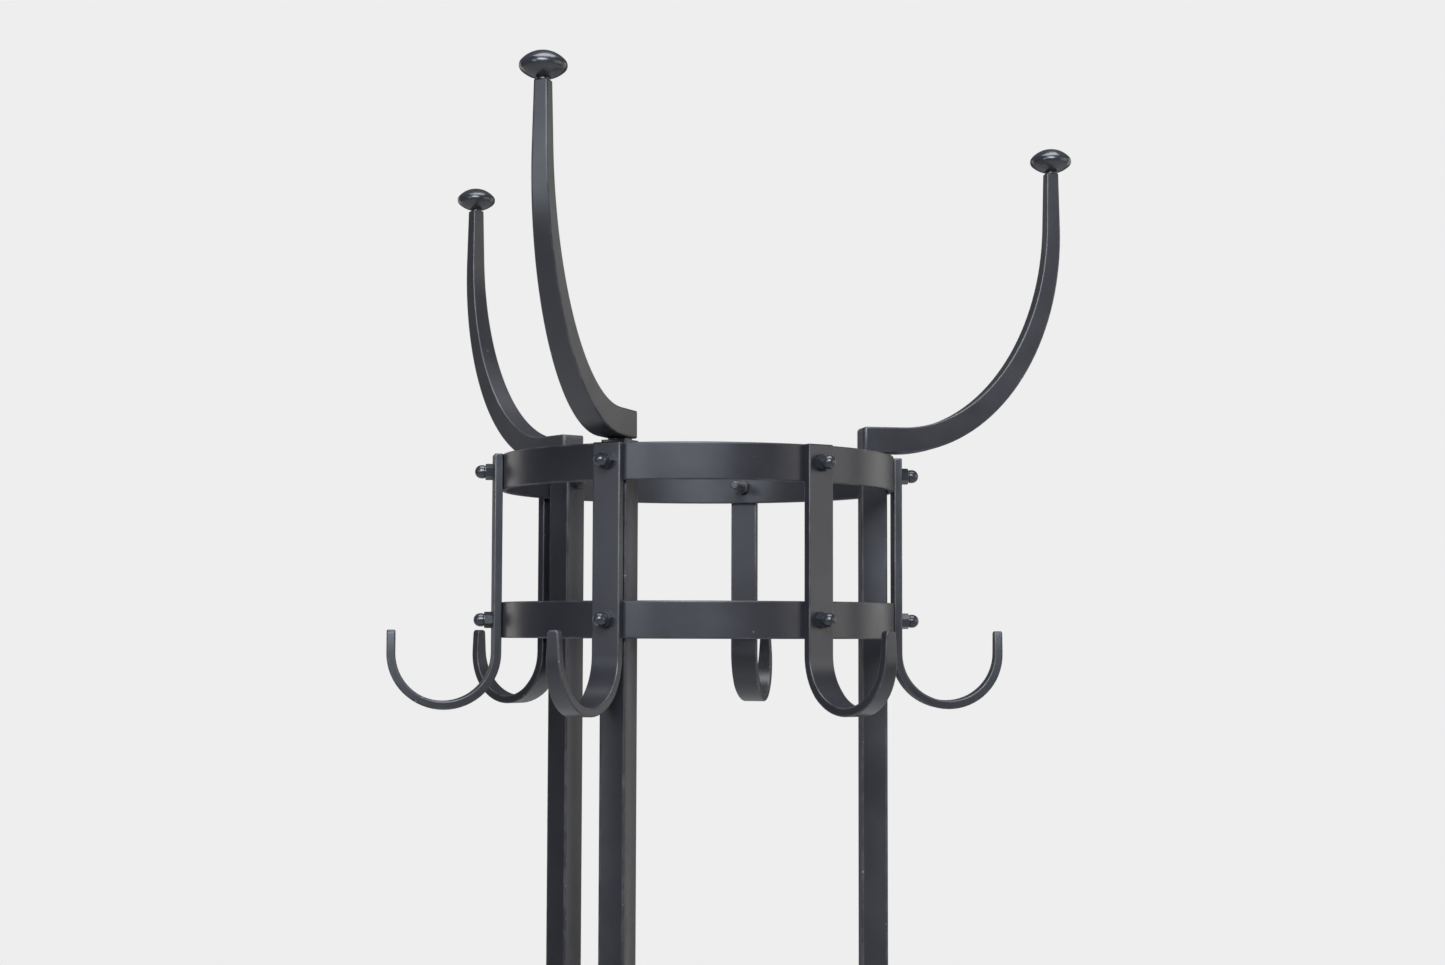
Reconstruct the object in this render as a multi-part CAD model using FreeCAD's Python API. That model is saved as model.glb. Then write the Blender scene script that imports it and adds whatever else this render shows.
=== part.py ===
import FreeCAD, Part
import math
import os

V = FreeCAD.Vector

# Stations round the hoops, degrees: each has a coat hook, every other one a post
station_angles = (0.0, 72.5, 138.5, 187.0, 243.0, 301.5)
post_every = 2

# Posts: square tubes inside the hoops, plugged at both ends
post_side = 19.0            # outside width of the square tube
post_wall = 2.0             # tube wall
post_length = 1549.0        # cut length
plug_length = 28.0          # solid plug in each end of a post
plug_clearance = 0.05       # between plug and tube wall, each side
hoop_clearance = 0.25       # lacquer between the post's corners and the hoop

# Hoops: rolled flat bar round the outside of the posts
hoop_outer_radius = 140.0
hoop_thickness = 4.0
hoop_height = 25.0          # width of the flat bar, seen standing up
hoop_below_top = 2.5        # post top down to the upper edge of the top hoop
hoop_spacing = 104.0        # centre of the top hoop to centre of the hook hoop
umbrella_hoop_level = 470.0 # post bottom up to the centre of the umbrella hoop
base_hoop_level = 40.0      # post bottom up to the centre of the base hoop

# Coat hooks: flat bar bent to a J, narrowing towards the tip
hook_width = 20.0
hook_tip_width = 7.5
hook_thickness = 6.0
hook_bend_radius = 33.5     # inside radius of the J
hook_bend_drop = 10.5       # lower edge of the hook hoop down to the bend's centre
hook_tip_rise = 16.0        # straight length beyond the bend
hook_tip_corner = 2.5       # rounding of the tip's two corners
hook_taper_start = 45.0     # degrees into the bend where the narrowing begins

# Hat arms: square bar, bowed out and up, narrowing towards the tip
arm_root_height = 18.5
arm_tip_side = 9.0
arm_seat_run = 19.0         # straight run past the post's centre line
arm_bow_out = 117.0         # how far the bow carries the arm outwards
arm_bow_up = 159.0          # how far the bow carries the arm upwards
arm_tip_run = 41.0          # straight run up to the knob
arm_end_chamfer = 2.0       # bevel round the inner end
arm_rest_turns = (7.5, -14.5, 5.5)  # degrees each arm stands turned on its post

# Spacer discs and studs between posts, arms and feet
spacer_inset = 1.5          # edge of the disc back from the post's face
spacer_thickness = 1.5
swivel_gap = 0.05           # running gap above the spacer
stud_diameter = 8.0
stud_bore_clearance = 0.05  # radial
stud_in_arm = 12.0          # reach of the stud into the arm or foot
bore_end_gap = 1.0          # free depth beyond the end of a stud

# Knobs
knob_diameter = 30.0
knob_top_rise = 8.6         # upper spherical cap, above the rim
knob_under_drop = 7.6       # lower spherical cap, below the rim if it weren't cut by the neck
knob_rim = 1.6              # height of the narrow land round the rim
knob_neck_diameter = 8.4
knob_neck_height = 0.9
knob_stud_diameter = 5.0
knob_stud_in_arm = 10.0
knob_stud_in_knob = 9.0

# Feet: the arm's bow turned down, shorter
foot_root_height = 18.5
foot_tip_side = 13.0
foot_seat_run = 13.5
foot_bow_out = 108.0
foot_bow_down = 48.0
foot_tip_run = 6.0
glide_diameter = 26.0
glide_height = 10.0
glide_chamfer = 2.0
glide_stem_diameter = 6.0
glide_stem_length = 12.0

# Screws and nuts that clamp hooks, hoops and posts
screw_diameter = 6.0
screw_hole_clearance = 0.2  # radial, in plain holes
thread_clearance = 0.05     # radial, inside nuts
nut_across_flats = 10.0
nut_height = 5.0
cap_hex_height = 5.5
cap_dome_diameter = 9.4
cap_height = 13.0
screw_in_cap = 8.0
screw_past_nut = 2.5        # length beyond the nut where a post is clamped

loft_steps = 12

# Places that follow from the sizes above
post_angles = station_angles[::post_every]
hoop_inner_radius = hoop_outer_radius - hoop_thickness
corner_radius = hoop_inner_radius - hoop_clearance
post_radius = math.sqrt(corner_radius ** 2 - (post_side / 2) ** 2) - post_side / 2
post_outer_face = post_radius + post_side / 2
post_inner_face = post_radius - post_side / 2
foot_root_z = glide_height + foot_tip_run + foot_bow_down
post_bottom = foot_root_z + foot_root_height / 2 + spacer_thickness
post_top = post_bottom + post_length
arm_seat_z = post_top + spacer_thickness + swivel_gap
arm_root_z = arm_seat_z + arm_root_height / 2
arm_tip_z = arm_root_z + arm_bow_up + arm_tip_run
arm_reach_radius = post_radius + arm_seat_run + arm_bow_out
foot_reach_radius = post_radius + foot_seat_run + foot_bow_out
top_hoop_z = post_top - hoop_below_top - hoop_height / 2
hook_hoop_z = top_hoop_z - hoop_spacing
umbrella_hoop_z = post_bottom + umbrella_hoop_level
base_hoop_z = post_bottom + base_hoop_level
hook_outer_face = hoop_outer_radius + hook_thickness
hook_bend_z = hook_hoop_z - hoop_height / 2 - hook_bend_drop
post_grip = hoop_outer_radius - post_inner_face
hook_screw_length = screw_in_cap + hook_thickness + post_grip + nut_height + screw_past_nut
tie_screw_length = screw_in_cap + post_grip + nut_height + screw_past_nut


def turned(shape, angle):
    copy = shape.copy()
    copy.rotate(V(0, 0, 0), V(0, 0, 1), angle)
    return copy


def swivelled(shape, index):
    # an arm's parts as they stand at rest, turned about the post's own axis
    copy = shape.copy()
    copy.rotate(V(post_radius, 0, 0), V(0, 0, 1), arm_rest_turns[index])
    return copy


def save(name, shape):
    shape.exportStep("parts/" + name + ".step")
    print(name, len(shape.Solids), "solid(s)")


def save_group(name, shapes):
    save(name, Part.makeCompound(shapes))


def save_at_posts(name, shape):
    save_group(name, [turned(shape, angle) for angle in post_angles])


def box(x_low, x_high, width, z_low, z_high):
    return Part.makeBox(x_high - x_low, width, z_high - z_low, V(x_low, -width / 2, z_low))


def disc(diameter, radius, z_low, z_high):
    return Part.makeCylinder(diameter / 2, z_high - z_low, V(radius, 0, z_low))


def cross_pin(diameter, x_low, x_high, z):
    return Part.makeCylinder(diameter / 2, x_high - x_low, V(x_low, 0, z), V(1, 0, 0))


def hexagon(across_flats, x_low, x_high, z):
    corner = across_flats / math.sqrt(3)
    points = []
    for step in range(7):
        turn = math.radians(60 * step + 30)
        points.append(V(x_low, corner * math.cos(turn), z + corner * math.sin(turn)))
    return Part.Face(Part.makePolygon(points)).extrude(V(x_high - x_low, 0, 0))


def section(x, z, slope, height, width):
    across = V(-math.sin(slope), 0, math.cos(slope)) * (height / 2)
    side = V(0, width / 2, 0)
    middle = V(x, 0, z)
    corners = [middle + across + side, middle + across - side]
    corners += [middle - across - side, middle - across + side]
    corners.append(corners[0])
    return Part.makePolygon(corners)


def bowed_bar(x_start, z_start, out, rise, run, size_start, size_end):
    # quarter ellipse that leaves level and ends upright, then a straight run
    stations = []
    for step in range(loft_steps + 1):
        turn = math.pi / 2 * step / loft_steps
        x = x_start + out * math.sin(turn)
        z = z_start + rise * (1 - math.cos(turn))
        slope = math.atan2(rise * math.sin(turn), out * math.cos(turn))
        stations.append((x, z, slope))
    end_z = z_start + rise + math.copysign(run, rise)
    upright = math.copysign(math.pi / 2, rise)
    stations.append((x_start + out, (z_start + rise + end_z) / 2, upright))
    stations.append((x_start + out, end_z, upright))
    lengths = [0.0]
    for before, after in zip(stations, stations[1:]):
        lengths.append(lengths[-1] + math.hypot(after[0] - before[0], after[1] - before[1]))
    wires = []
    for (x, z, slope), length in zip(stations, lengths):
        share = length / lengths[-1]
        height = size_start[0] + (size_end[0] - size_start[0]) * share
        width = size_start[1] + (size_end[1] - size_start[1]) * share
        wires.append(section(x, z, slope, height, width))
    return Part.makeLoft(wires, True, False)


def make_post():
    post = box(post_inner_face, post_outer_face, post_side, post_bottom, post_top)
    inner = post_side - 2 * post_wall
    post = post.cut(box(post_radius - inner / 2, post_radius + inner / 2, inner,
                        post_bottom, post_top))
    hole = screw_diameter + 2 * screw_hole_clearance
    for z in (top_hoop_z, hook_hoop_z, umbrella_hoop_z, base_hoop_z):
        post = post.cut(cross_pin(hole, post_inner_face - 1, post_outer_face + 1, z))
    return post


def make_plug(z_low, z_high, screw_z, stud_low, stud_high):
    side = post_side - 2 * post_wall - 2 * plug_clearance
    plug = box(post_radius - side / 2, post_radius + side / 2, side, z_low, z_high)
    bore = stud_diameter + 2 * stud_bore_clearance
    plug = plug.cut(disc(bore, post_radius, stud_low, stud_high))
    hole = screw_diameter + 2 * screw_hole_clearance
    return plug.cut(cross_pin(hole, post_inner_face, post_outer_face, screw_z))


def make_hoop(z, angles):
    low = z - hoop_height / 2
    hoop = Part.makeCylinder(hoop_outer_radius, hoop_height, V(0, 0, low))
    hoop = hoop.cut(Part.makeCylinder(hoop_inner_radius, hoop_height, V(0, 0, low)))
    hole = cross_pin(screw_diameter + 2 * screw_hole_clearance,
                     hoop_inner_radius - 5, hoop_outer_radius + 5, z)
    for angle in angles:
        hoop = hoop.cut(turned(hole, angle))
    return hoop


def make_hook():
    strap = box(hoop_outer_radius, hook_outer_face, hook_width,
                hook_bend_z, top_hoop_z + hoop_height / 2)
    centre_radius = hook_bend_radius + hook_thickness / 2
    centre_x = hook_outer_face + hook_bend_radius
    taper_start = centre_radius * math.radians(hook_taper_start)
    taper_length = centre_radius * math.pi + hook_tip_rise - taper_start
    wires = []
    for step in range(loft_steps + 1):
        turn = math.pi * step / loft_steps
        x = centre_x - centre_radius * math.cos(turn)
        z = hook_bend_z - centre_radius * math.sin(turn)
        share = max(0.0, (centre_radius * turn - taper_start) / taper_length)
        width = hook_width + (hook_tip_width - hook_width) * share
        wires.append(section(x, z, turn - math.pi / 2, hook_thickness, width))
    bend = Part.makeLoft(wires, True, False)
    tip_x = centre_x + centre_radius
    top_z = hook_bend_z + hook_tip_rise
    tip_high = section(tip_x, top_z, math.pi / 2, hook_thickness, hook_tip_width)
    tip = Part.makeLoft([wires[-1], tip_high], True, True)
    corners = []
    for edge in tip.Edges:
        ends = [vertex.Point for vertex in edge.Vertexes]
        at_top = all(abs(point.z - top_z) < 1e-6 for point in ends)
        if at_top and abs(ends[0].x - ends[1].x) > hook_thickness / 2:
            corners.append(edge)
    tip = tip.makeFillet(hook_tip_corner, corners)
    hook = strap.fuse([bend, tip])
    hole = screw_diameter + 2 * screw_hole_clearance
    for z in (top_hoop_z, hook_hoop_z):
        hook = hook.cut(cross_pin(hole, hoop_outer_radius - 1, hook_outer_face + 1, z))
    return hook


def make_arm():
    bow_x = post_radius + arm_seat_run
    seat_top = arm_seat_z + arm_root_height
    seat = box(post_inner_face, bow_x, post_side, arm_seat_z, seat_top)
    end_edges = []
    for edge in seat.Edges:
        ends = [vertex.Point for vertex in edge.Vertexes]
        on_end = all(abs(point.x - post_inner_face) < 1e-6 for point in ends)
        low = all(abs(point.z - arm_seat_z) < 1e-6 for point in ends)
        if on_end and not low:
            end_edges.append(edge)
    seat = seat.makeChamfer(arm_end_chamfer, end_edges)
    bow = bowed_bar(bow_x, arm_root_z, arm_bow_out, arm_bow_up, arm_tip_run,
                    (arm_root_height, post_side), (arm_tip_side, arm_tip_side))
    arm = seat.fuse(bow)
    bore = stud_diameter + 2 * stud_bore_clearance
    arm = arm.cut(disc(bore, post_radius, arm_seat_z - 1, arm_seat_z + stud_in_arm + bore_end_gap))
    bore = knob_stud_diameter + 2 * thread_clearance
    low = arm_tip_z - knob_stud_in_arm - bore_end_gap
    return arm.cut(disc(bore, arm_reach_radius, low, arm_tip_z + 1))


def make_foot():
    bow_x = post_radius + foot_seat_run
    seat_low = foot_root_z - foot_root_height / 2
    seat_high = foot_root_z + foot_root_height / 2
    seat = box(post_inner_face, bow_x, post_side, seat_low, seat_high)
    bow = bowed_bar(bow_x, foot_root_z, foot_bow_out, -foot_bow_down, foot_tip_run,
                    (foot_root_height, post_side), (foot_tip_side, foot_tip_side))
    foot = seat.fuse(bow)
    bore = stud_diameter + 2 * stud_bore_clearance
    foot = foot.cut(disc(bore, post_radius, seat_high - stud_in_arm - bore_end_gap, seat_high + 1))
    bore = glide_stem_diameter + 2 * thread_clearance
    high = glide_height + glide_stem_length + bore_end_gap
    return foot.cut(disc(bore, foot_reach_radius, glide_height - 1, high))


def make_glide():
    low = Part.makeCone(glide_diameter / 2 - glide_chamfer, glide_diameter / 2,
                        glide_chamfer, V(foot_reach_radius, 0, 0))
    body = disc(glide_diameter, foot_reach_radius, glide_chamfer, glide_height)
    stem = disc(glide_stem_diameter, foot_reach_radius, glide_height - 1,
                glide_height + glide_stem_length)
    return low.fuse([body, stem]).removeSplitter()


def cap_depth(radius, rise):
    # depth of a spherical cap of the given rise, at a radius from the knob's axis
    rim = knob_diameter / 2
    sphere = (rim ** 2 + rise ** 2) / (2 * rise)
    return math.sqrt(sphere ** 2 - radius ** 2) - (sphere - rise)


def make_knob():
    rim = knob_diameter / 2
    neck = knob_neck_diameter / 2
    rim_low = arm_tip_z + knob_neck_height + cap_depth(neck, knob_under_drop)
    rim_high = rim_low + knob_rim
    under = [V(at, 0, rim_low - cap_depth(at, knob_under_drop)) for at in (neck, (neck + rim) / 2, rim)]
    over = [V(at, 0, rim_high + cap_depth(at, knob_top_rise)) for at in (rim, rim / 2, 0)]
    axis_low = V(0, 0, arm_tip_z)
    neck_low = V(neck, 0, arm_tip_z)
    edges = [
        Part.makeLine(axis_low, neck_low),
        Part.makeLine(neck_low, under[0]),
        Part.Arc(under[0], under[1], under[2]).toShape(),
        Part.makeLine(under[2], over[0]),
        Part.Arc(over[0], over[1], over[2]).toShape(),
        Part.makeLine(over[2], axis_low),
    ]
    knob = Part.Face(Part.Wire(edges)).revolve(V(0, 0, 0), V(0, 0, 1), 360)
    bore = knob_stud_diameter + 2 * thread_clearance
    knob = knob.cut(disc(bore, 0, arm_tip_z - 1, arm_tip_z + knob_stud_in_knob + bore_end_gap))
    knob.translate(V(arm_reach_radius, 0, 0))
    return knob


def make_screw(x_outer, length, z):
    return cross_pin(screw_diameter, x_outer + screw_in_cap - length, x_outer + screw_in_cap, z)


def make_nut(x_high, z):
    nut = hexagon(nut_across_flats, x_high - nut_height, x_high, z)
    return nut.cut(cross_pin(screw_diameter + 2 * thread_clearance,
                             x_high - nut_height - 1, x_high + 1, z))


def make_cap_nut(x_low, z):
    radius = cap_dome_diameter / 2
    cap = hexagon(nut_across_flats, x_low, x_low + cap_hex_height, z)
    shank_end = x_low + cap_height - radius
    cap = cap.fuse([cross_pin(cap_dome_diameter, x_low, shank_end, z),
                    Part.makeSphere(radius, V(shank_end, 0, z))])
    bore = screw_diameter + 2 * thread_clearance
    return cap.cut(cross_pin(bore, x_low - 1, x_low + screw_in_cap + bore_end_gap, z))


def make_spacer(z):
    spacer = disc(post_side - 2 * spacer_inset, post_radius, z, z + spacer_thickness)
    bore = stud_diameter + 2 * stud_bore_clearance
    return spacer.cut(disc(bore, post_radius, z - 1, z + spacer_thickness + 1))


def save_posts_and_feet():
    post = make_post()
    foot = make_foot()
    glide = make_glide()
    for index, angle in enumerate(post_angles):
        number = str(index + 1)
        save("post_" + number, turned(post, angle))
        save("foot_" + number, turned(foot, angle))
        save("glide_" + number, turned(glide, angle))
    bore = stud_in_arm + bore_end_gap
    top = make_plug(post_top - plug_length, post_top, top_hoop_z,
                    post_top - bore, post_top + 1)
    bottom = make_plug(post_bottom, post_bottom + plug_length, base_hoop_z,
                       post_bottom - 1, post_bottom + bore)
    foot_top = post_bottom - spacer_thickness
    spacer_low = make_spacer(foot_top)
    stud_low = disc(stud_diameter, post_radius, foot_top - stud_in_arm, post_bottom + stud_in_arm)
    spacer_high = make_spacer(post_top)
    stud_high = disc(stud_diameter, post_radius, post_top - stud_in_arm, arm_seat_z + stud_in_arm)
    save_at_posts("post_plugs_top", top)
    save_at_posts("post_plugs_bottom", bottom)
    save_at_posts("foot_spacers", spacer_low)
    save_at_posts("foot_studs", stud_low)
    save_at_posts("arm_spacers", spacer_high)
    save_at_posts("arm_studs", stud_high)


def save_arms():
    arm = make_arm()
    knob = make_knob()
    stud = disc(knob_stud_diameter, arm_reach_radius, arm_tip_z - knob_stud_in_arm,
                arm_tip_z + knob_stud_in_knob)
    for index, angle in enumerate(post_angles):
        number = str(index + 1)
        save("arm_" + number, turned(swivelled(arm, index), angle))
        save("knob_" + number, turned(swivelled(knob, index), angle))
        save("knob_stud_" + number, turned(swivelled(stud, index), angle))


def save_hooks():
    hook = make_hook()
    for index, angle in enumerate(station_angles):
        save("hook_" + str(index + 1), turned(hook, angle))


def nut_seat_gap():
    # a flat nut inside a round hoop bears on its corners
    corner = nut_across_flats / math.sqrt(3)
    return hoop_inner_radius - math.sqrt(hoop_inner_radius ** 2 - corner ** 2)


def save_hoop(name, z, angles, clamp_face, screw_length):
    save("hoop_" + name, make_hoop(z, angles))
    screw = make_screw(clamp_face, screw_length, z)
    cap = make_cap_nut(clamp_face, z)
    post_nut = make_nut(post_inner_face, z)
    hoop_nut = make_nut(hoop_inner_radius - nut_seat_gap(), z)
    nuts = []
    for angle in angles:
        nuts.append(turned(post_nut if angle in post_angles else hoop_nut, angle))
    save_group("screws_" + name, [turned(screw, angle) for angle in angles])
    save_group("cap_nuts_" + name, [turned(cap, angle) for angle in angles])
    save_group("nuts_" + name, nuts)


os.makedirs("parts", exist_ok=True)
save_posts_and_feet()
save_arms()
save_hooks()
save_hoop("top", top_hoop_z, station_angles, hook_outer_face, hook_screw_length)
save_hoop("hook", hook_hoop_z, station_angles, hook_outer_face, hook_screw_length)
save_hoop("umbrella", umbrella_hoop_z, post_angles, hoop_outer_radius, tie_screw_length)
save_hoop("base", base_hoop_z, post_angles, hoop_outer_radius, tie_screw_length)
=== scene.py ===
import bmesh
import bpy
import math
from mathutils import Matrix, Vector


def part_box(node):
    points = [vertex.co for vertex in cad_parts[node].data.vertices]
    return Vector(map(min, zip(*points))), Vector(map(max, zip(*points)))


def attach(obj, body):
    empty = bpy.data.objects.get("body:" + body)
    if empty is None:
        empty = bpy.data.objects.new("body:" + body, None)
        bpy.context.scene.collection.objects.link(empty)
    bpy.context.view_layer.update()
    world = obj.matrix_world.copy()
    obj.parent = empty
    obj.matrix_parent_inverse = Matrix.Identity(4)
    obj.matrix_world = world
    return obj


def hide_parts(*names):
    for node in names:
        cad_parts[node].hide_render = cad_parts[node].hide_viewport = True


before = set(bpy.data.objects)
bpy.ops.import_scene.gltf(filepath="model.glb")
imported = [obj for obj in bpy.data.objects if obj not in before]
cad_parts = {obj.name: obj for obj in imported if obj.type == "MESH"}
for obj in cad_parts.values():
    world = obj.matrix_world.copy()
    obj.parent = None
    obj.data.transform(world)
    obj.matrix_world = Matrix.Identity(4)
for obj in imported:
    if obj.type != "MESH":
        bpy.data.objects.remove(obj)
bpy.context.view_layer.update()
print("frame loaded:", len(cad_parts), "nodes")

# where the six hook stations stand round the hoops; the first, third and fifth have a post
stationAngles = (0, 72.5, 138.5, 187, 243, 301.5)
postAngles = stationAngles[::2]
armRestTurns = (7.5, -14.5, 5.5)  # degrees each hat arm stands turned on its post
mergeGap = 1e-6  # points closer than this are one point
onPlane = 1e-5  # how near a point is to a plane that it lies on


def turned(angle):
    return Matrix.Rotation(math.radians(angle), 4, "Z")


def partsOf(made, kind):
    return [part for part in made["geom"] if isinstance(part, kind)]


def newShape():
    # the "edge" layer is 1 on the rounded edges, where the lacquer gets a painted highlight and wears
    bm = bmesh.new()
    bm.verts.layers.float.new("edge")
    return bm


def addSquare(bm, side, place, filled=False):
    bmesh.ops.create_circle(bm, cap_ends=filled, radius=side * math.sqrt(0.5), segments=4,
                            matrix=place @ turned(45))


def bevelled(bm, geom, offset, segments, affect="EDGES"):
    return bmesh.ops.bevel(bm, geom=geom, offset=offset, offset_type="OFFSET", segments=segments,
                           profile=0.5, affect=affect, clamp_overlap=True, material=-1)


def raiseFaces(bm, height):
    # a flat outline becomes a solid standing on it
    made = bmesh.ops.extrude_face_region(bm, geom=bm.faces[:])
    bmesh.ops.translate(bm, verts=partsOf(made, bmesh.types.BMVert), vec=(0, 0, height))
    bmesh.ops.recalc_face_normals(bm, faces=bm.faces)


def spinRound(bm, steps):
    bmesh.ops.spin(bm, geom=bm.verts[:] + bm.edges[:], cent=(0, 0, 0), axis=(0, 0, 1),
                   angle=math.tau, steps=steps, use_merge=True, use_duplicate=False)
    bmesh.ops.remove_doubles(bm, verts=bm.verts, dist=mergeGap)
    bmesh.ops.recalc_face_normals(bm, faces=bm.faces)


def closeEnds(bm):
    bmesh.ops.holes_fill(bm, edges=[edge for edge in bm.edges if edge.is_boundary], sides=0)
    bmesh.ops.recalc_face_normals(bm, faces=bm.faces)


def barPlace(x, z, slope, width, height):
    # a square bar's cross-section, standing across its run
    crosswise = Matrix(((0, 0, 1, 0), (1, 0, 0, 0), (0, 1, 0, 0), (0, 0, 0, 1)))
    lean = Matrix.Rotation(-slope, 4, "Y")
    return Matrix.Translation((x, 0, z)) @ lean @ crosswise @ Matrix.Diagonal((width, height, 1, 1))


def sweepBar(places):
    bm = newShape()
    addSquare(bm, 1, places[0], filled=True)
    cap = bm.faces[:]
    for before, after in zip(places, places[1:]):
        cap = bmesh.ops.extrude_discrete_faces(bm, faces=cap)["faces"]
        bmesh.ops.transform(bm, matrix=after @ before.inverted(), verts=cap[0].verts[:])
    closeEnds(bm)
    return bm


def softenEdges(bm, shape, sharperThan=40, wanted=None):
    # rounds the sharp outer edges, and marks them for a painted edge highlight, worn lacquer and chips
    edges = []
    for edge in bm.edges:
        if edge.is_manifold and edge.is_convex and edge.calc_face_angle() > math.radians(sharperThan):
            if wanted is None or wanted(edge):
                edges.append(edge)
    rounded = set(bevelled(bm, edges, shape["edgeRadius"], shape["edgeSteps"])["faces"])
    flat = [face for face in bm.faces if face not in rounded]
    bmesh.ops.inset_region(bm, faces=flat, thickness=shape["margin"], depth=0, use_boundary=True,
                           use_even_offset=True)
    layer = bm.verts.layers.float["edge"]
    for face in rounded:
        for vert in face.verts:
            vert[layer] = 1.0


def copiesAt(source, places):
    # one bmesh holding the source shape at each place
    bm = bmesh.new()
    for place in places:
        copy = bpy.data.meshes.new("copy")
        source.to_mesh(copy)
        copy.transform(place)
        bm.from_mesh(copy)
        bpy.data.meshes.remove(copy)
    source.free()
    return bm


def finishPiece(name, bm, finish, body, nodes, sharpAngle=180, place=Matrix()):
    mesh = bpy.data.meshes.new(name)
    bmesh.ops.transform(bm, matrix=place, verts=bm.verts)
    bm.to_mesh(mesh)
    bm.free()
    mesh.shade_smooth()
    if sharpAngle < 180:
        mesh.set_sharp_from_angle(angle=math.radians(sharpAngle))
    mesh.materials.append(finish)
    piece = bpy.data.objects.new(name, mesh)
    bpy.context.scene.collection.objects.link(piece)
    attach(piece, body)
    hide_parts(*nodes)


def newFinish(name):
    finish = bpy.data.materials.new(name)
    finish.use_nodes = True
    tree = finish.node_tree
    return finish, tree, tree.nodes["Principled BSDF"]


def addNode(tree, kind, values=None, **settings):
    made = tree.nodes.new(kind)
    for name, value in settings.items():
        setattr(made, name, value)
    for name, value in (values or {}).items():
        made.inputs[name].default_value = value
    return made


def noise(tree, where, grain):
    made = addNode(tree, "ShaderNodeTexNoise",
                   {"Scale": grain["scale"], "Detail": grain["detail"], "Roughness": grain["fine"]})
    tree.links.new(where, made.inputs["Vector"])
    return made.outputs["Fac"]


def rerange(tree, value, fromLow, fromHigh, toLow, toHigh):
    made = addNode(tree, "ShaderNodeMapRange",
                   {"From Min": fromLow, "From Max": fromHigh, "To Min": toLow, "To Max": toHigh})
    tree.links.new(value, made.inputs["Value"])
    return made.outputs["Result"]


def patches(tree, where, grain, toLow=0, toHigh=1):
    # a noise, stretched so that its own low and high come out as the two given
    return rerange(tree, noise(tree, where, grain), grain["low"], grain["high"], toLow, toHigh)


def combine(tree, operation, first, second):
    made = addNode(tree, "ShaderNodeMath", operation=operation)
    for socket, value in zip(made.inputs, (first, second)):
        if isinstance(value, (int, float)):
            socket.default_value = value
        else:
            tree.links.new(value, socket)
    return made.outputs["Value"]


def blendColour(tree, share, first, second):
    made = addNode(tree, "ShaderNodeMix", data_type="RGBA")
    tree.links.new(share, made.inputs["Factor"])
    for socket, value in ((made.inputs[6], first), (made.inputs[7], second)):
        if isinstance(value, tuple):
            socket.default_value = value
        else:
            tree.links.new(value, socket)
    return made.outputs[2]


def bump(tree, height, grain, under=None):
    made = addNode(tree, "ShaderNodeBump", {"Strength": grain["strength"], "Distance": grain["depth"]})
    tree.links.new(height, made.inputs["Height"])
    if under is not None:
        tree.links.new(under, made.inputs["Normal"])
    return made.outputs["Normal"]


satinLook = {
    "darkColour": (0.010, 0.010, 0.0125, 1),
    "paleColour": (0.016, 0.016, 0.019, 1),
    # paler colour on the rounded edges: painted highlight, partly worn lacquer
    "edgeHighlightAndWearColour": (0.036, 0.036, 0.041, 1),
    "dustColour": (0.16, 0.155, 0.145, 1),
    "chipColour": (0.11, 0.095, 0.078, 1),
    "roughLow": 0.29,
    "roughHigh": 0.38,
    "edgeRougher": 0.07,
    "chipRougher": 0.2,
    "drift": {"scale": 7, "detail": 4, "fine": 0.5, "low": 0.35, "high": 0.65},
    "wornAndSheen": {"scale": 60, "detail": 5, "fine": 0.6, "low": 0.42, "high": 0.62, "most": 0.75},
    "dust": {"scale": 95, "core": 0.045, "rim": 0.075, "rareLow": 0.86, "rareHigh": 0.88, "most": 0.5},
    "chips": {"scale": 340, "detail": 2, "fine": 0.4, "low": 0.72, "high": 0.735},
    "chipDent": {"strength": 0.5, "depth": 0.00012, "edgeLow": 0.25, "edgeHigh": 0.6},
    "rubbed": {"scale": 26, "detail": 5, "fine": 0.6, "low": 0.3, "high": 0.7},
    "wavy": {"scale": 38, "detail": 2, "fine": 0.5, "strength": 0.10, "depth": 0.0012},
    "peel": {"scale": 780, "detail": 2, "fine": 0.5, "strength": 0.12, "depth": 0.00012},
}


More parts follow.
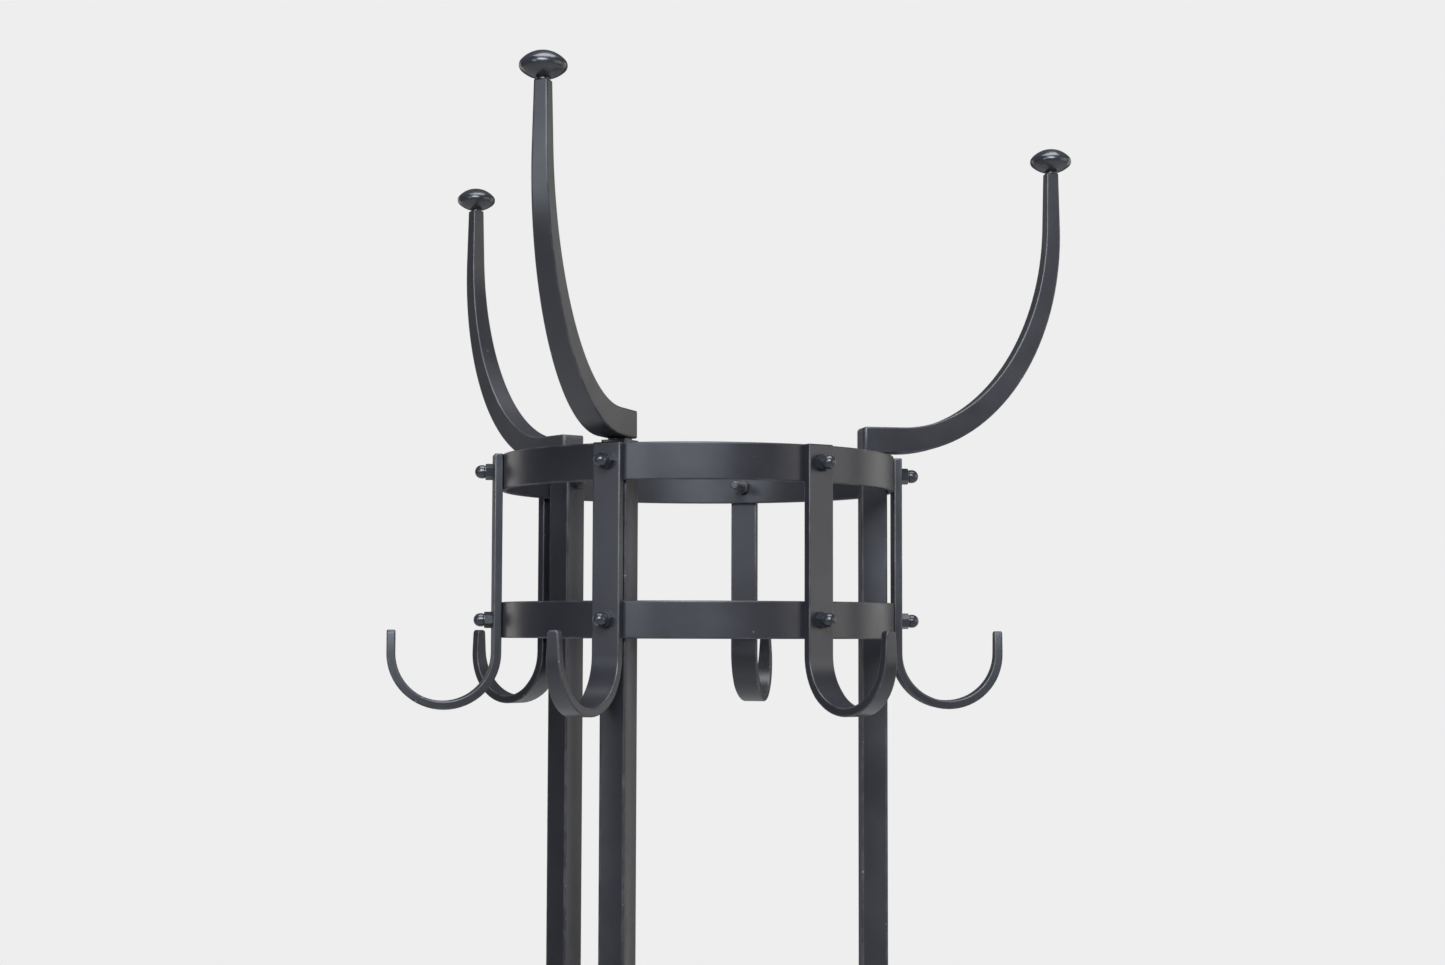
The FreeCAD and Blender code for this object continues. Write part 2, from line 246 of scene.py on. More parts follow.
def satinLacquer():
    look = satinLook
    finish, tree, shader = newFinish("satinAnthraciteLacquer")
    where = addNode(tree, "ShaderNodeTexCoord").outputs["Object"]
    edge = addNode(tree, "ShaderNodeAttribute", attribute_name="edge").outputs["Fac"]
    # colour drifts softly along the bars
    colour = blendColour(tree, patches(tree, where, look["drift"]), look["darkColour"], look["paleColour"])
    # paler edges in short uneven lengths: a painted highlight on the rounded edges, partly thinner worn
    # lacquer
    edgeHighlightAndWear = combine(tree, "MULTIPLY", edge, patches(tree, where, look["wornAndSheen"], 0, look["wornAndSheen"]["most"]))
    colour = blendColour(tree, edgeHighlightAndWear, colour, look["edgeHighlightAndWearColour"])
    # specks of dust caught in the lacquer
    specks = look["dust"]
    dust = addNode(tree, "ShaderNodeTexVoronoi", {"Scale": specks["scale"]}, feature="F1")
    tree.links.new(where, dust.inputs["Vector"])
    speck = rerange(tree, dust.outputs["Distance"], specks["core"], specks["rim"], 1, 0)
    chosen = rerange(tree, dust.outputs["Color"], specks["rareLow"], specks["rareHigh"], 0, specks["most"])
    colour = blendColour(tree, combine(tree, "MULTIPLY", speck, chosen), colour, look["dustColour"])
    # few small chips along the edges
    dent = look["chipDent"]
    nearEdge = rerange(tree, edge, dent["edgeLow"], dent["edgeHigh"], 0, 1)
    chip = combine(tree, "MULTIPLY", patches(tree, where, look["chips"]), nearEdge)
    colour = blendColour(tree, chip, colour, look["chipColour"])
    tree.links.new(colour, shader.inputs["Base Color"])
    # handled places shine more, edges and chips less
    rough = patches(tree, where, look["rubbed"], look["roughLow"], look["roughHigh"])
    rough = combine(tree, "ADD", rough, combine(tree, "MULTIPLY", edge, look["edgeRougher"]))
    rough = combine(tree, "ADD", rough, combine(tree, "MULTIPLY", chip, look["chipRougher"]))
    tree.links.new(rough, shader.inputs["Roughness"])
    # orange peel over a slow waviness, with the chips sunk in
    surface = bump(tree, noise(tree, where, look["wavy"]), look["wavy"])
    surface = bump(tree, noise(tree, where, look["peel"]), look["peel"], surface)
    surface = bump(tree, combine(tree, "MULTIPLY", chip, -1), dent, surface)
    tree.links.new(surface, shader.inputs["Normal"])
    return finish


glossLook = {
    "darkColour": (0.012, 0.013, 0.016, 1),
    "paleColour": (0.020, 0.021, 0.025, 1),
    "roughLow": 0.20,
    "roughHigh": 0.27,
    "metallic": 0,
    "drift": {"scale": 45, "detail": 4, "fine": 0.5, "low": 0.35, "high": 0.65},
    "smear": {"scale": 110, "detail": 5, "fine": 0.65, "low": 0.35, "high": 0.7},
    "grain": {"scale": 240, "detail": 2, "fine": 0.5, "strength": 0.03, "depth": 0.00006},
}
blackenedLook = {
    "darkColour": (0.030, 0.030, 0.034, 1),
    "paleColour": (0.075, 0.072, 0.070, 1),
    "roughLow": 0.30,
    "roughHigh": 0.52,
    "metallic": 0.7,
    "drift": {"scale": 160, "detail": 4, "fine": 0.6, "low": 0.35, "high": 0.68},
    "smear": {"scale": 240, "detail": 4, "fine": 0.5, "low": 0.3, "high": 0.7},
    "grain": {"scale": 1400, "detail": 3, "fine": 0.5, "strength": 0.15, "depth": 0.0001},
}
steelLook = {
    "darkColour": (0.36, 0.35, 0.34, 1),
    "paleColour": (0.52, 0.51, 0.50, 1),
    "roughLow": 0.25,
    "roughHigh": 0.42,
    "metallic": 1,
    "drift": {"scale": 220, "detail": 4, "fine": 0.5, "low": 0.35, "high": 0.65},
    "smear": {"scale": 500, "detail": 3, "fine": 0.5, "low": 0.3, "high": 0.7},
    "grain": {"scale": 2200, "detail": 2, "fine": 0.5, "strength": 0.2, "depth": 0.0001},
}
rubberLook = {
    "darkColour": (0.014, 0.014, 0.015, 1),
    "paleColour": (0.030, 0.029, 0.028, 1),
    "roughLow": 0.62,
    "roughHigh": 0.85,
    "metallic": 0,
    "drift": {"scale": 70, "detail": 4, "fine": 0.5, "low": 0.35, "high": 0.65},
    "smear": {"scale": 300, "detail": 4, "fine": 0.5, "low": 0.3, "high": 0.7},
    "grain": {"scale": 1500, "detail": 3, "fine": 0.5, "strength": 0.3, "depth": 0.00015},
}


def smallPartFinish(name, look):
    # colour, shine and grain that each vary on their own scale
    finish, tree, shader = newFinish(name)
    where = addNode(tree, "ShaderNodeTexCoord").outputs["Object"]
    colour = blendColour(tree, patches(tree, where, look["drift"]), look["darkColour"], look["paleColour"])
    tree.links.new(colour, shader.inputs["Base Color"])
    rough = patches(tree, where, look["smear"], look["roughLow"], look["roughHigh"])
    tree.links.new(rough, shader.inputs["Roughness"])
    tree.links.new(bump(tree, noise(tree, where, look["grain"]), look["grain"]), shader.inputs["Normal"])
    shader.inputs["Metallic"].default_value = look["metallic"]
    return finish


satin = satinLacquer()
gloss = smallPartFinish("glossBlackLacquer", glossLook)
blackened = smallPartFinish("blackenedSteel", blackenedLook)
steel = smallPartFinish("bareSteel", steelLook)
rubber = smallPartFinish("blackRubber", rubberLook)
print("finishes made")


postTube = {"wall": 0.002, "edgeRadius": 0.0014, "edgeSteps": 4, "margin": 0.0008, "smoothBelow": 50}
postLow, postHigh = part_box("post_1")
postInnerFace = postLow.x
postSide = postHigh.x - postLow.x
postRadius = (postLow.x + postHigh.x) / 2


def makePost():
    bm = newShape()
    for side in (postSide, postSide - 2 * postTube["wall"]):
        addSquare(bm, side, Matrix.Translation((postRadius, 0, postLow.z)))
    bmesh.ops.bridge_loops(bm, edges=bm.edges)
    raiseFaces(bm, postHigh.z - postLow.z)

    def isCorner(edge):
        upright = abs(edge.verts[0].co.z - edge.verts[1].co.z) > postSide
        return upright and all(abs(vert.co.y) > postSide / 2 - onPlane for vert in edge.verts)

    softenEdges(bm, postTube, wanted=isCorner)
    return bm


for number, angle in enumerate(postAngles, 1):
    finishPiece(f"postTube_{number}", makePost(), satin, "stand",
                [f"post_{number}"], sharpAngle=postTube["smoothBelow"], place=turned(angle))
print("posts made")


hoopBand = {"thickness": 0.004, "edgeRadius": 0.0008, "edgeSteps": 3, "margin": 0.0005, "steps": 240}
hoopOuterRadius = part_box("hoop_top")[1].x


def makeHoop(level, height):
    bm = newShape()
    middle = hoopOuterRadius - hoopBand["thickness"] / 2
    upright = Matrix.Translation((middle, 0, level)) @ Matrix.Rotation(math.radians(90), 4, "X")
    addSquare(bm, 1, upright @ Matrix.Diagonal((hoopBand["thickness"], height, 1, 1)))
    spinRound(bm, hoopBand["steps"])
    softenEdges(bm, hoopBand)
    return bm


levels = {}
for place in ("top", "hook", "umbrella", "base"):
    low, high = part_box("hoop_" + place)
    levels[place] = (low.z + high.z) / 2
    finishPiece("hoopBand_" + place, makeHoop(levels[place], high.z - low.z), satin, "stand",
                ["hoop_" + place])
print("hoops made")


hookBar = {"thickness": 0.006, "width": 0.020, "tipWidth": 0.0075, "tipRise": 0.016,
           "taperStart": 45,  # degrees round the bend
           "tipCorner": 0.0024, "tipCornerSteps": 6, "edgeRadius": 0.0008, "edgeSteps": 3,
           "margin": 0.0006, "bendSteps": 32}
hookLow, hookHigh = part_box("hook_1")
hookOuterFace = hookLow.x + hookBar["thickness"]


def makeHook():
    thickness = hookBar["thickness"]
    bendRadius = (hookHigh.x - hookLow.x - thickness) / 2
    bendX = hookLow.x + thickness / 2 + bendRadius
    bendZ = hookLow.z + thickness / 2 + bendRadius
    places = [barPlace(hookLow.x + thickness / 2, hookHigh.z, -math.pi / 2, hookBar["width"], thickness)]
    taperStart = bendRadius * math.radians(hookBar["taperStart"])
    taperLength = bendRadius * math.pi + hookBar["tipRise"] - taperStart
    for step in range(hookBar["bendSteps"] + 1):
        turn = math.pi * step / hookBar["bendSteps"]
        share = max(0, bendRadius * turn - taperStart) / taperLength
        width = hookBar["width"] + (hookBar["tipWidth"] - hookBar["width"]) * share
        places.append(barPlace(bendX - bendRadius * math.cos(turn), bendZ - bendRadius * math.sin(turn),
                               turn - math.pi / 2, width, thickness))
    tipZ = bendZ + hookBar["tipRise"]
    places.append(barPlace(bendX + bendRadius, tipZ, math.pi / 2, hookBar["tipWidth"], thickness))
    bm = sweepBar(places)

    # the tip's two corners are rounded over before the edges are softened
    corners = []
    for edge in bm.edges:
        first, second = (vert.co for vert in edge.verts)
        atTip = first.x > bendX and min(first.z, second.z) > tipZ - onPlane
        if atTip and abs(first.x - second.x) > thickness / 2:
            corners.append(edge)
    bevelled(bm, corners, hookBar["tipCorner"], hookBar["tipCornerSteps"])
    softenEdges(bm, hookBar, sharperThan=50)
    return bm


for number, angle in enumerate(stationAngles, 1):
    finishPiece(f"hookBar_{number}", makeHook(), satin, "stand",
                [f"hook_{number}"], place=turned(angle))
print("hooks made")


armBar = {"rootHeight": 0.0185, "tipSide": 0.009, "seatRun": 0.019, "bowOut": 0.117, "tipRun": 0.041,
          "endChamfer": 0.002, "edgeRadius": 0.0009, "edgeSteps": 3, "margin": 0.0004, "bowSteps": 36}
footBar = {"rootHeight": 0.0185, "tipSide": 0.013, "bowOut": 0.108, "tipRun": 0.006,
           "endChamfer": 0, "edgeRadius": 0.0010, "edgeSteps": 3, "margin": 0.0008, "bowSteps": 30}


def makeBowedBar(bar, reach, rootZ, endZ):
    # level seat at the post, then a quarter ellipse out and up or down, then a short upright run
    bowX = reach - bar["bowOut"]
    way = math.copysign(1, endZ - rootZ)
    rise = endZ - rootZ - way * bar["tipRun"]
    stations = []
    for step in range(bar["bowSteps"] + 1):
        turn = math.pi / 2 * step / bar["bowSteps"]
        slope = math.atan2(rise * math.sin(turn), bar["bowOut"] * math.cos(turn))
        stations.append((bowX + bar["bowOut"] * math.sin(turn), rootZ + rise * (1 - math.cos(turn)), slope))
    stations.append((reach, rootZ + rise + way * bar["tipRun"] / 2, way * math.pi / 2))
    stations.append((reach, endZ, way * math.pi / 2))
    lengths = [0]
    for before, after in zip(stations, stations[1:]):
        lengths.append(lengths[-1] + math.hypot(after[0] - before[0], after[1] - before[1]))
    places = [barPlace(postInnerFace, rootZ, 0, postSide, bar["rootHeight"])]
    for (x, z, slope), length in zip(stations, lengths):
        share = length / lengths[-1]
        width = postSide + (bar["tipSide"] - postSide) * share
        height = bar["rootHeight"] + (bar["tipSide"] - bar["rootHeight"]) * share
        places.append(barPlace(x, z, slope, width, height))
    bm = sweepBar(places)

    # a hat arm's inner end is bevelled on the sides away from the post
    ending = []
    for edge in bm.edges:
        onEnd = all(vert.co.x < postInnerFace + onPlane for vert in edge.verts)
        byPost = all((vert.co.z - rootZ) * way < 0 for vert in edge.verts)
        if onEnd and not byPost:
            ending.append(edge)
    if bar["endChamfer"]:
        bevelled(bm, ending, bar["endChamfer"], 1)
    softenEdges(bm, bar)
    return bm


def armPlace(number):
    # the arm turned about its post's own axis, then taken round to the post
    axis = Matrix.Translation((postRadius, 0, 0))
    return turned(postAngles[number - 1]) @ axis @ turned(armRestTurns[number - 1]) @ axis.inverted()


armLow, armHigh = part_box("arm_1")
footLow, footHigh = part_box("foot_1")
armReach = postRadius + armBar["seatRun"] + armBar["bowOut"]
footReach = footHigh.x - footBar["tipSide"] / 2
for number, angle in enumerate(postAngles, 1):
    finishPiece(f"armBar_{number}",
                makeBowedBar(armBar, armReach, armLow.z + armBar["rootHeight"] / 2, armHigh.z),
                satin, f"hat_arm_{number}", [f"arm_{number}"], place=armPlace(number))
    finishPiece(f"footBar_{number}",
                makeBowedBar(footBar, footReach, footHigh.z - footBar["rootHeight"] / 2, footLow.z),
                satin, "stand", [f"foot_{number}"], place=turned(angle))
print("arms and feet made")


knobTurning = {"neckRadius": 0.0042, "rim": 0.0034, "topRise": 0.0077, "underDrop": 0.0067,
               "rimRadius": 0.0045, "capSteps": 14, "rimSteps": 10, "turnSteps": 72, "smoothBelow": 50}
knobLow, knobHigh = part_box("knob_1")
knobRadius = (knobHigh.y - knobLow.y) / 2


def capArc(rise, rimZ, way, innerRadius):
    # a spherical cap's outline from near the axis out to where the rounded rim takes over
    sphere = (knobRadius ** 2 + rise ** 2) / (2 * rise)
    centreZ = rimZ + way * (rise - sphere)
    rimRadius = knobTurning["rimRadius"]
    lean = math.asin((knobRadius - rimRadius) / (sphere - rimRadius))
    start = math.asin(innerRadius / sphere)
    arc = []
    for step in range(knobTurning["capSteps"] + 1):
        turn = start + (lean - start) * step / knobTurning["capSteps"]
        arc.append((sphere * math.sin(turn), centreZ + way * sphere * math.cos(turn)))
    return arc, lean, centreZ + way * (sphere - rimRadius) * math.cos(lean)


def makeKnob():
    neck = knobTurning["neckRadius"]
    rimHigh = knobHigh.z - knobTurning["topRise"]
    rimLow = rimHigh - knobTurning["rim"]
    under, leanLow, lowerZ = capArc(knobTurning["underDrop"], rimLow, -1, neck)
    over, leanHigh, upperZ = capArc(knobTurning["topRise"], rimHigh, 1, 0)
    profile = [(0, knobLow.z), (neck, knobLow.z)] + under
    rimZ = (lowerZ + upperZ) / 2
    for step in range(1, knobTurning["rimSteps"]):
        share = step / knobTurning["rimSteps"]
        turn = (leanLow - math.pi / 2) * (1 - share) + (math.pi / 2 - leanHigh) * share
        profile.append((knobRadius - knobTurning["rimRadius"] * (1 - math.cos(turn)),
                        rimZ + knobTurning["rimRadius"] * math.sin(turn)))
    profile += over[::-1]
    bm = bmesh.new()
    verts = [bm.verts.new((at, 0, height)) for at, height in profile]
    for pair in zip(verts, verts[1:]):
        bm.edges.new(pair)
    spinRound(bm, knobTurning["turnSteps"])
    bmesh.ops.translate(bm, verts=bm.verts, vec=(armReach, 0, 0))
    return bm


for number in (1, 2, 3):
    finishPiece(f"knobTurned_{number}", makeKnob(), gloss, f"hat_arm_{number}",
                [f"knob_{number}"], sharpAngle=knobTurning["smoothBelow"], place=armPlace(number))
print("knobs made")


nutShape = {"acrossFlats": 0.010, "height": 0.005, "cornerCut": 0.0009, "bore": 0.00305,
            "boreSteps": 24, "sideCuts": 3, "smoothBelow": 28}
capShape = {"hexHeight": 0.0055, "height": 0.013, "domeRadius": 0.0047, "domeSteps": 32,
            "waistRadius": 0.0043, "waistHeight": 0.0006}
threadShape = {"crest": 0.0030, "root": 0.0025, "pitch": 0.001, "perTurn": 20, "spareTurns": 3,
               "inCap": 0.008, "pastNut": 0.0025, "lead": 0.0007, "smoothBelow": 35,
               # share of the pitch, and whether the thread is at its root or crest there
               "ridge": ((0, "root"), (0.38, "crest"), (0.5, "crest"), (0.88, "root"), (1, "root"))}
# nuts and screws stop at uneven turns: degrees more per station, and per letter of the hoop's name
stopTurns = {"cap": (37, 11), "nut": (23, 5), "screw": (50, 0)}
hexRadius = nutShape["acrossFlats"] / math.sqrt(3)


def makeNut():
    bm = bmesh.new()
    bmesh.ops.create_circle(bm, cap_ends=False, radius=hexRadius, segments=6)
    bmesh.ops.subdivide_edges(bm, edges=bm.edges[:], cuts=nutShape["sideCuts"], use_grid_fill=False)
    bmesh.ops.create_circle(bm, cap_ends=False, radius=nutShape["bore"], segments=nutShape["boreSteps"])
    bmesh.ops.bridge_loops(bm, edges=bm.edges)
    raiseFaces(bm, nutShape["height"])
    corners = [vert for vert in bm.verts if vert.co.xy.length > hexRadius - onPlane]
    bevelled(bm, corners, nutShape["cornerCut"], 1, affect="VERTICES")
    return bm


def makeCapNut():
    bm = bmesh.new()
    bmesh.ops.create_circle(bm, cap_ends=True, radius=hexRadius, segments=6)
    raiseFaces(bm, capShape["hexHeight"])
    bevelled(bm, bm.verts[:], nutShape["cornerCut"], 2, affect="VERTICES")

    # dome with a turned waist where it meets the hexagon
    domeZ = capShape["height"] - capShape["domeRadius"]
    dome = bmesh.new()
    bmesh.ops.create_uvsphere(dome, u_segments=capShape["domeSteps"], v_segments=capShape["domeSteps"] // 2,
                              radius=capShape["domeRadius"], matrix=Matrix.Translation((0, 0, domeZ)))
    below = [vert for vert in dome.verts if vert.co.z < domeZ - onPlane]
    bmesh.ops.delete(dome, geom=below, context="VERTS")
    waistTop = capShape["hexHeight"] + capShape["waistHeight"]
    waistShare = capShape["waistRadius"] / capShape["domeRadius"]
    rings = ((waistTop + capShape["waistHeight"], 1), (waistTop, waistShare), (capShape["hexHeight"] / 2, 1))
    height = domeZ
    for ringZ, share in rings:
        rim = [edge for edge in dome.edges if edge.is_boundary]
        verts = partsOf(bmesh.ops.extrude_edge_only(dome, edges=rim), bmesh.types.BMVert)
        bmesh.ops.translate(dome, verts=verts, vec=(0, 0, ringZ - height))
        bmesh.ops.scale(dome, verts=verts, vec=(share, share, 1))
        height = ringZ
    closeEnds(dome)
    mesh = bpy.data.meshes.new("dome")
    dome.to_mesh(mesh)
    dome.free()
    bm.from_mesh(mesh)
    bpy.data.meshes.remove(mesh)
    return bm


def makeScrew(length):
    bm = bmesh.new()
    pitch = threadShape["pitch"]
    verts = [bm.verts.new((threadShape[at], 0, share * pitch)) for share, at in threadShape["ridge"]]
    for pair in zip(verts, verts[1:]):
        bm.edges.new(pair)
    turns = round(length / pitch) + threadShape["spareTurns"]
    steps = threadShape["perTurn"]
    bmesh.ops.spin(bm, geom=bm.verts[:] + bm.edges[:], cent=(0, 0, 0), axis=(0, 0, 1),
                   dvec=(0, 0, pitch / steps), angle=math.tau * turns, steps=steps * turns,
                   use_merge=False, use_duplicate=False)
    bmesh.ops.remove_doubles(bm, verts=bm.verts, dist=2 * mergeGap)
    start = threadShape["spareTurns"] * pitch / 2
    for height, way in ((start, -1), (start + length, 1)):
        bmesh.ops.bisect_plane(bm, geom=bm.verts[:] + bm.edges[:] + bm.faces[:],
                               plane_co=(0, 0, height), plane_no=(0, 0, way), clear_outer=True)
        closeEnds(bm)
    bmesh.ops.dissolve_degenerate(bm, dist=mergeGap, edges=bm.edges)
    bmesh.ops.translate(bm, verts=bm.verts, vec=(0, 0, -start))
    # the lead-in cone at the free end
    for vert in bm.verts:
        limit = threadShape["crest"] - max(0, threadShape["lead"] - vert.co.z)
        reach = vert.co.xy.length
        if reach > limit:
            vert.co.x *= limit / reach
            vert.co.y *= limit / reach
    bmesh.ops.recalc_face_normals(bm, faces=bm.faces)
    return bm


def outward(kind, x, hoop, number, angle):
    # on the radial axis at a station, its own Z pointing away from the hoops' axis
    perStation, perLetter = stopTurns[kind]
    spin = turned(perStation * number + perLetter * len(hoop))
    pointed = Matrix.Rotation(math.radians(90), 4, "Y") @ spin
    return turned(angle) @ Matrix.Translation((x, 0, levels[hoop])) @ pointed


hoopInnerRadius = hoopOuterRadius - hoopBand["thickness"]
hoopNutFace = math.sqrt(hoopInnerRadius ** 2 - hexRadius ** 2)
for hoop in levels:
    hooked = hoop in ("top", "hook")
    clampFace = hookOuterFace if hooked else hoopOuterRadius
    nutLength = nutShape["height"] + threadShape["pastNut"]
    length = threadShape["inCap"] + clampFace - postInnerFace + nutLength
    capPlaces = []
    nutPlaces = []
    screwPlaces = []
    for number, angle in enumerate(stationAngles if hooked else postAngles):
        nutFace = postInnerFace if angle in postAngles else hoopNutFace
        capPlaces.append(outward("cap", clampFace, hoop, number, angle))
        nutPlaces.append(outward("nut", nutFace - nutShape["height"], hoop, number, angle))
        screwEnd = clampFace + threadShape["inCap"] - length
        screwPlaces.append(outward("screw", screwEnd, hoop, number, angle))
    finishPiece("capNutSet_" + hoop, copiesAt(makeCapNut(), capPlaces), gloss, "stand",
                ["cap_nuts_" + hoop], sharpAngle=nutShape["smoothBelow"])
    finishPiece("hexNutSet_" + hoop, copiesAt(makeNut(), nutPlaces), blackened, "stand",
                ["nuts_" + hoop], sharpAngle=nutShape["smoothBelow"])
    finishPiece("screwSet_" + hoop, copiesAt(makeScrew(length), screwPlaces), blackened, "stand",
                ["screws_" + hoop], sharpAngle=threadShape["smoothBelow"])
print("screws and nuts made")


spacerShape = {"inset": 0.0015, "bore": 0.00405, "turnSteps": 48, "edgeRadius": 0.0003,
               "edgeSteps": 2, "margin": 0.0002}


def makeSpacer(low, high):
    bm = newShape()
    place = Matrix.Translation((postRadius, 0, low))
    for radius in (postSide / 2 - spacerShape["inset"], spacerShape["bore"]):
        bmesh.ops.create_circle(bm, cap_ends=False, radius=radius, segments=spacerShape["turnSteps"],
                                matrix=place)
    bmesh.ops.bridge_loops(bm, edges=bm.edges)
    raiseFaces(bm, high - low)
    softenEdges(bm, spacerShape)
    return bm


for part in ("arm", "foot"):
    low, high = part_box(part + "_spacers")
    spacers = copiesAt(makeSpacer(low.z, high.z), [turned(angle) for angle in postAngles])
    finishPiece(part + "SpacerSet", spacers, blackened, "stand", [part + "_spacers"])


glideShape = {"chamfer": 0.002, "edgeRadius": 0.0008, "edgeMiddle": 0.3, "grooveZ": 0.0052,
              "grooveDepth": 0.0006, "stemRadius": 0.003, "turnSteps": 56, "smoothBelow": 32}


def makeGlide():
    low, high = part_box("glide_1")
    radius = (high.y - low.y) / 2
    bottom = radius - glideShape["chamfer"]
    top = footLow.z
    grooveZ, depth = glideShape["grooveZ"], glideShape["grooveDepth"]
    edge = glideShape["edgeRadius"]
    middle = edge * glideShape["edgeMiddle"]
    # each ring's height and radius: chamfered foot, groove, rounded top, then the stem in the foot bar
    rings = ((glideShape["chamfer"], radius), (grooveZ - depth, radius), (grooveZ, radius - depth),
             (grooveZ + depth, radius), (top - edge, radius), (top - middle, radius - middle),
             (top, radius - edge), (top, glideShape["stemRadius"]), (high.z, glideShape["stemRadius"]))
    bm = bmesh.new()
    place = Matrix.Translation(((low.x + high.x) / 2, 0, low.z))
    bmesh.ops.create_circle(bm, cap_ends=True, radius=bottom, segments=glideShape["turnSteps"], matrix=place)
    cap = bm.faces[:]
    height, reach = low.z, bottom
    for ringZ, ringRadius in rings:
        cap = bmesh.ops.extrude_discrete_faces(bm, faces=cap)["faces"]
        verts = cap[0].verts[:]
        share = ringRadius / reach
        bmesh.ops.translate(bm, verts=verts, vec=(0, 0, ringZ - height))
        bmesh.ops.scale(bm, verts=verts, vec=(share, share, 1), space=place.inverted())
        height, reach = ringZ, ringRadius
    closeEnds(bm)
    return bm


for number, angle in enumerate(postAngles, 1):
    finishPiece(f"glideTurned_{number}", makeGlide(), rubber, "stand",
                [f"glide_{number}"], sharpAngle=glideShape["smoothBelow"], place=turned(angle))

# the plugs and studs keep their shapes from the frame
keptShapes = {"post_plugs_top": satin, "post_plugs_bottom": satin, "arm_studs": steel,
              "foot_studs": steel, "knob_stud_1": steel, "knob_stud_2": steel, "knob_stud_3": steel}
for name, finish in keptShapes.items():
    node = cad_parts[name]
    node.data.materials.clear()
    node.data.materials.append(finish)
print("spacers, glides, plugs and studs made")


floorDisc = {"radius": 5, "turnSteps": 96, "darkColour": (0.58, 0.58, 0.58, 1),
             "paleColour": (0.62, 0.62, 0.62, 1), "roughness": 0.7,
             "drift": {"scale": 1.5, "detail": 3, "fine": 0.5, "low": 0.3, "high": 0.7}}


def paleFloor():
    finish, tree, shader = newFinish("paleFloor")
    where = addNode(tree, "ShaderNodeTexCoord").outputs["Object"]
    drift = patches(tree, where, floorDisc["drift"])
    colour = blendColour(tree, drift, floorDisc["darkColour"], floorDisc["paleColour"])
    tree.links.new(colour, shader.inputs["Base Color"])
    shader.inputs["Roughness"].default_value = floorDisc["roughness"]
    return finish


def makeFloor():
    bm = bmesh.new()
    bmesh.ops.create_circle(bm, cap_ends=True, radius=floorDisc["radius"], segments=floorDisc["turnSteps"])
    mesh = bpy.data.meshes.new("floor")
    bm.to_mesh(mesh)
    bm.free()
    mesh.materials.append(paleFloor())
    floor = bpy.data.objects.new("floor", mesh)
    bpy.context.scene.collection.objects.link(floor)


# what the camera sees behind the rack, what glossy surfaces mirror, and what lights matt ones
roomLight = {"backdrop": (0.855, 0.855, 0.855, 1), "room": (0.11, 0.112, 0.118, 1),
             "fill": (0.60, 0.605, 0.615, 1)}


def mixShaders(tree, share, first, second):
    made = addNode(tree, "ShaderNodeMixShader")
    for socket, value in zip(made.inputs, (share, first, second)):
        tree.links.new(value, socket)
    return made.outputs["Shader"]


def lightRoom():
    world = bpy.data.worlds.new("room")
    bpy.context.scene.world = world
    world.use_nodes = True
    tree = world.node_tree
    backdrop = tree.nodes["Background"]
    backdrop.inputs["Color"].default_value = roomLight["backdrop"]
    room = addNode(tree, "ShaderNodeBackground", {"Color": roomLight["room"]})
    fill = addNode(tree, "ShaderNodeBackground", {"Color": roomLight["fill"]})
    path = addNode(tree, "ShaderNodeLightPath")
    around = mixShaders(tree, path.outputs["Is Diffuse Ray"], room.outputs["Background"],
                        fill.outputs["Background"])
    seen = mixShaders(tree, path.outputs["Is Camera Ray"], around, backdrop.outputs["Background"])
    tree.links.new(seen, tree.nodes["World Output"].inputs["Surface"])


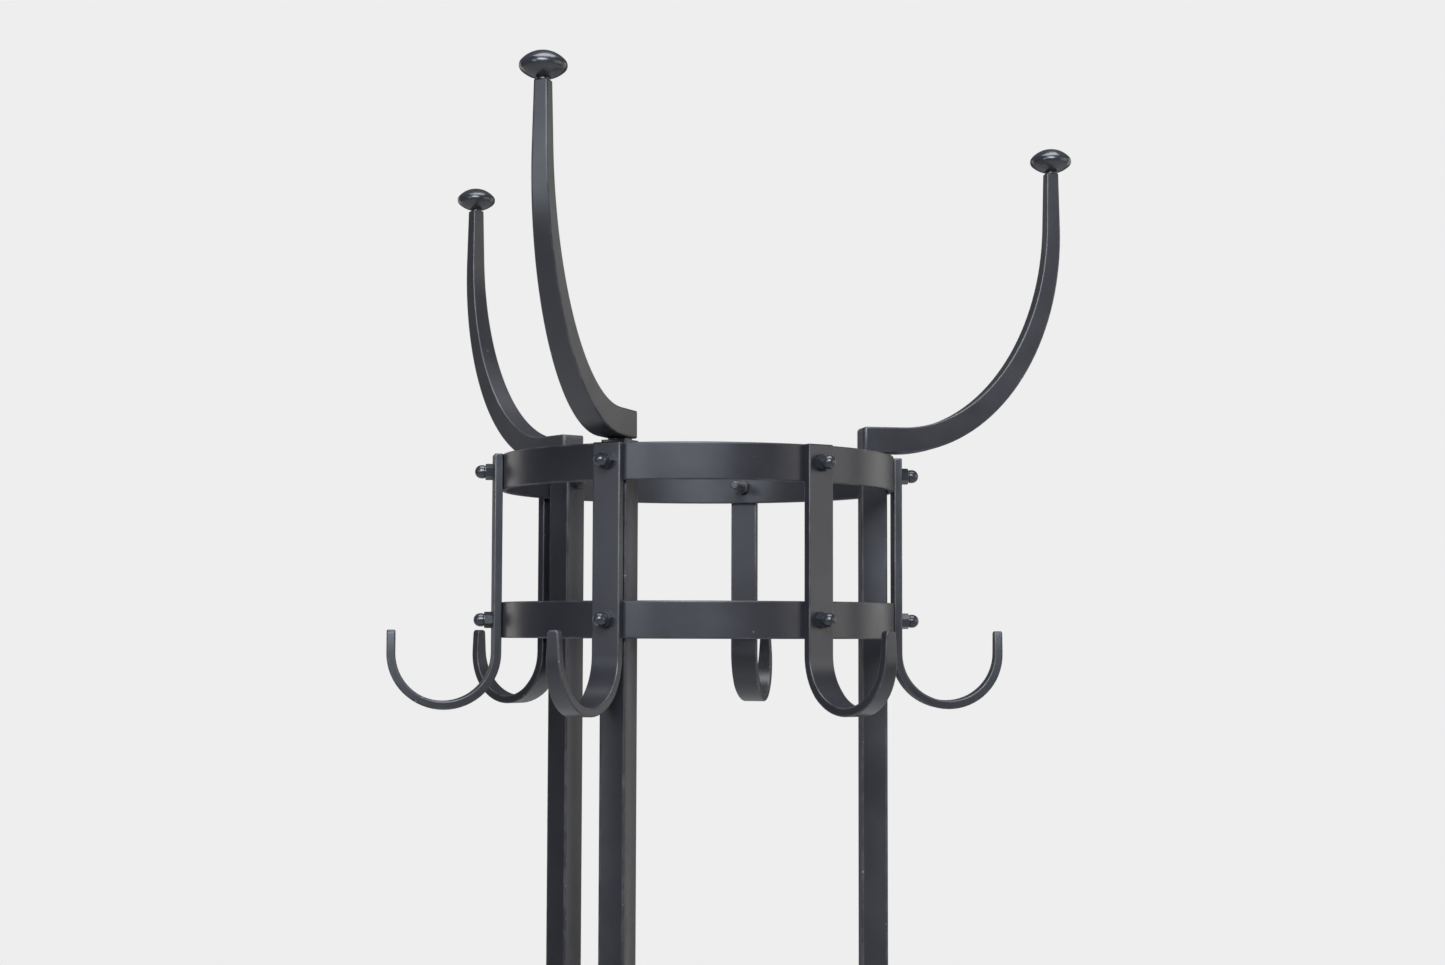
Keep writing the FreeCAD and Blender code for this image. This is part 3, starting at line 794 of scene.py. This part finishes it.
softLights = {
    "windowFront": {"place": (-0.3, -3.1, 3.2), "aim": (0, 0, 1.75), "size": (2.4, 1.5), "power": 46,
                    "colour": (0.82, 0.89, 1.0), "spread": 80},
    "windowLeft": {"place": (-2.1, -2.5, 2.1), "aim": (0, 0, 1.7), "size": (0.8, 1.2), "power": 19,
                   "colour": (0.84, 0.90, 1.0), "spread": 180},
    "ceiling": {"place": (0.1, -0.3, 4.2), "aim": (0, 0, 1.6), "size": (2.4, 1.8), "power": 44,
                "colour": (0.92, 0.96, 1.0), "spread": 120},
    "wallRight": {"place": (3.0, -1.0, 1.9), "aim": (0, 0, 1.5), "size": (2.6, 2.0), "power": 31,
                  "colour": (1.0, 0.97, 0.94), "spread": 180},
    "wallBackLeft": {"place": (-1.95, 2.2, 1.6), "aim": (0, 0, 1.5), "size": (1.1, 2.2), "power": 9,
                     "colour": (1.0, 0.98, 0.95), "spread": 180},
    "wallBackRight": {"place": (2.45, 1.45, 1.7), "aim": (0, 0, 1.5), "size": (1.6, 2.2), "power": 14,
                      "colour": (1.0, 0.98, 0.95), "spread": 180},
}


def addSoftLights():
    for name, light in softLights.items():
        lamp = bpy.data.lights.new(name, "AREA")
        lamp.shape = "RECTANGLE"
        lamp.size, lamp.size_y = light["size"]
        lamp.energy = light["power"]
        lamp.color = light["colour"]
        lamp.spread = math.radians(light["spread"])
        holder = bpy.data.objects.new(name, lamp)
        place = Vector(light["place"])
        facing = (Vector(light["aim"]) - place).to_track_quat("-Z", "Y")
        holder.matrix_world = Matrix.Translation(place) @ facing.to_matrix().to_4x4()
        bpy.context.scene.collection.objects.link(holder)


# metres from the rack's axis and above the floor, then degrees, then millimetres of lens and sensor
cameraPlace = {"distance": 1.5913, "height": 1.4973, "round": -2.69, "pan": 0.64, "tilt": 3.82,
               "roll": 0.16, "lens": 55.47, "sensor": 36, "nearest": 0.05}


def addCamera():
    view = cameraPlace
    data = bpy.data.cameras.new("camera")
    data.lens = view["lens"]
    data.sensor_width = view["sensor"]
    data.clip_start = view["nearest"]
    holder = bpy.data.objects.new("camera", data)
    stand = turned(view["round"]) @ Matrix.Translation((0, -view["distance"], view["height"]))
    aim = turned(-view["pan"]) @ Matrix.Rotation(math.radians(90 + view["tilt"]), 4, "X")
    holder.matrix_world = stand @ aim @ turned(view["roll"])
    bpy.context.scene.collection.objects.link(holder)
    bpy.context.scene.camera = holder


makeFloor()
lightRoom()
addSoftLights()
addCamera()
bpy.context.scene.view_settings.view_transform = "Standard"
print("floor, lights and camera made")
